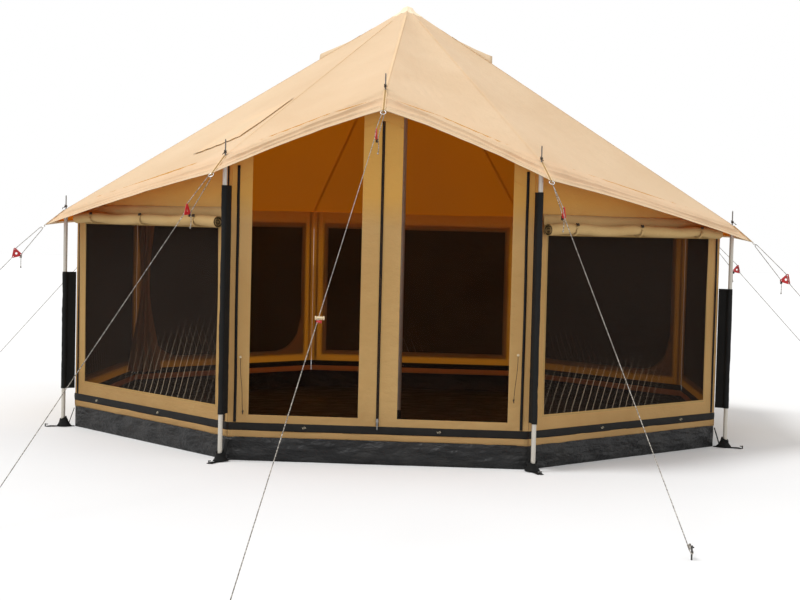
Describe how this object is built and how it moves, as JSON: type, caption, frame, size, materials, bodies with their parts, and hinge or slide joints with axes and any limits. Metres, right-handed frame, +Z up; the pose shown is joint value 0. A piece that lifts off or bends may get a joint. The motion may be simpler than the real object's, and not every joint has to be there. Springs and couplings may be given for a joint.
{
  "type": "tent on poles",
  "caption": "Eight-sided canvas cabin tent: pitched roof on poles with spikes, mesh walls and double doors, dark tub floor, and guylines with tensioners and pegs.",
  "frame": {"origin": "on the ground, on the centre pole's axis", "axes": "+Z up, -Y out through the doors, +X to the right of someone facing the doors"},
  "size_m": [7.6392, 10.0397, 3.103],
  "materials": {
    "canvas": "cotton canvas, plain weave, lightly proofed",
    "reinforced_canvas": "doubled cotton canvas",
    "insect_mesh": "fine knitted polyester insect mesh",
    "ground_sheet": "coated black tarpaulin",
    "webbing": "black polyester webbing and cloth",
    "zip": "black coil zip on woven tape",
    "zip_metal": "black enamelled",
    "heat_panel": "silicone-coated glass cloth",
    "galvanised_tube": "galvanised",
    "spike_steel": "dull zinc",
    "ring_steel": "nickel plated",
    "peg_steel": "black coated",
    "black_plastic": "moulded",
    "red_plastic": "moulded",
    "rope": "braided polyester, grey with a pale fleck"
  },
  "bodies": {
    "tent": {"base_zips": "zip", "centre_pole_head": "black_plastic", "centre_pole_lower": "galvanised_tube", "centre_pole_upper": "galvanised_tube", "closed_covers": "canvas", "corner_poles": "galvanised_tube", "corner_zips": "zip", "door_frame": "canvas", "door_pole": "galvanised_tube", "foot_pegs": "peg_steel", "groundsheet_floor": "ground_sheet", "groundsheet_sides": "ground_sheet", "guy_pegs": "peg_steel", "guyline_back_left": "rope", "guyline_back_right": "rope", "guyline_door": "rope", "guyline_front_left": "rope", "guyline_front_right": "rope", "guyline_left_back": "rope", "guyline_left_front": "rope", "guyline_right_back": "rope", "guyline_right_front": "rope", "peak_cap": "reinforced_canvas", "pole_feet": "black_plastic", "pole_sleeves": "webbing", "pole_spikes": "spike_steel", "roll_ties": "webbing", "rolled_covers": "canvas", "roof_canvas": "canvas", "roof_valance": "canvas", "steel_rings": "ring_steel", "stove_jack": "heat_panel", "tub_hem": "canvas", "vent_hoods": "canvas", "wall_back": "canvas", "wall_back_left": "canvas", "wall_back_right": "canvas", "wall_front_left": "canvas", "wall_front_right": "canvas", "wall_left": "canvas", "wall_right": "canvas", "webbing_straps": "webbing", "window_screens": "insect_mesh"},
    "door_left_leaf": {"door_left": "canvas", "door_left_screen": "insect_mesh", "door_zip_left": "zip"},
    "door_right_leaf": {"door_right": "canvas", "door_right_screen": "insect_mesh", "door_zip_right": "zip"},
    "zip_slider": {"door_zip_slider": "zip_metal"},
    "stove_flap_cover": {"stove_flap": "canvas"},
    "tensioner_door": {"tensioner_door": "red_plastic"},
    "tensioner_front_right": {"tensioner_front_right": "red_plastic"},
    "tensioner_front_left": {"tensioner_front_left": "red_plastic"},
    "tensioner_right_front": {"tensioner_right_front": "red_plastic"},
    "tensioner_left_front": {"tensioner_left_front": "red_plastic"},
    "tensioner_right_back": {"tensioner_right_back": "red_plastic"},
    "tensioner_left_back": {"tensioner_left_back": "red_plastic"},
    "tensioner_back_right": {"tensioner_back_right": "red_plastic"},
    "tensioner_back_left": {"tensioner_back_left": "red_plastic"}
  },
  "joints": [
    {"name": "door_left_swing", "type": "hinge", "parent": "tent", "child": "door_left_leaf", "pos_m": [-0.872, -2.236, 0], "axis": [0, 0, -1], "range_deg": [0, 90]},
    {"name": "door_right_swing", "type": "hinge", "parent": "tent", "child": "door_right_leaf", "pos_m": [0.872, -2.236, 0], "axis": [0, 0, 1], "range_deg": [0, 90]},
    {"name": "door_zip_slide", "type": "slide", "parent": "door_left_leaf", "child": "zip_slider", "axis": [0, 0, 1], "range_m": [0, 1.75]},
    {"name": "stove_flap_lift", "type": "hinge", "parent": "tent", "child": "stove_flap_cover", "pos_m": [-0.65605, -1.48779, 2.29463], "axis": [-0.6959, 0.6959, -0.1769], "range_deg": [0, 75]},
    {"name": "tensioner_door_slide", "type": "slide", "parent": "tent", "child": "tensioner_door", "axis": [0.0482, 0.8908, 0.4518], "range_m": [0, 0.12]},
    {"name": "tensioner_front_right_slide", "type": "slide", "parent": "tent", "child": "tensioner_front_right", "axis": [-0.2042, 0.7779, 0.5943], "range_m": [0, 0.12]},
    {"name": "tensioner_front_left_slide", "type": "slide", "parent": "tent", "child": "tensioner_front_left", "axis": [0.2355, 0.7657, 0.5985], "range_m": [0, 0.12]},
    {"name": "tensioner_right_front_slide", "type": "slide", "parent": "tent", "child": "tensioner_right_front", "axis": [-0.6319, 0.2629, 0.7291], "range_m": [0, 0.12]},
    {"name": "tensioner_left_front_slide", "type": "slide", "parent": "tent", "child": "tensioner_left_front", "axis": [0.6319, 0.2629, 0.7291], "range_m": [0, 0.12]},
    {"name": "tensioner_right_back_slide", "type": "slide", "parent": "tent", "child": "tensioner_right_back", "axis": [-0.6741, -0.2772, 0.6847], "range_m": [0, 0.12]},
    {"name": "tensioner_left_back_slide", "type": "slide", "parent": "tent", "child": "tensioner_left_back", "axis": [0.6741, -0.2772, 0.6847], "range_m": [0, 0.12]},
    {"name": "tensioner_back_right_slide", "type": "slide", "parent": "tent", "child": "tensioner_back_right", "axis": [-0.2439, -0.5885, 0.7709], "range_m": [0, 0.12]},
    {"name": "tensioner_back_left_slide", "type": "slide", "parent": "tent", "child": "tensioner_back_left", "axis": [0.2439, -0.5885, 0.7709], "range_m": [0, 0.12]}
  ]
}
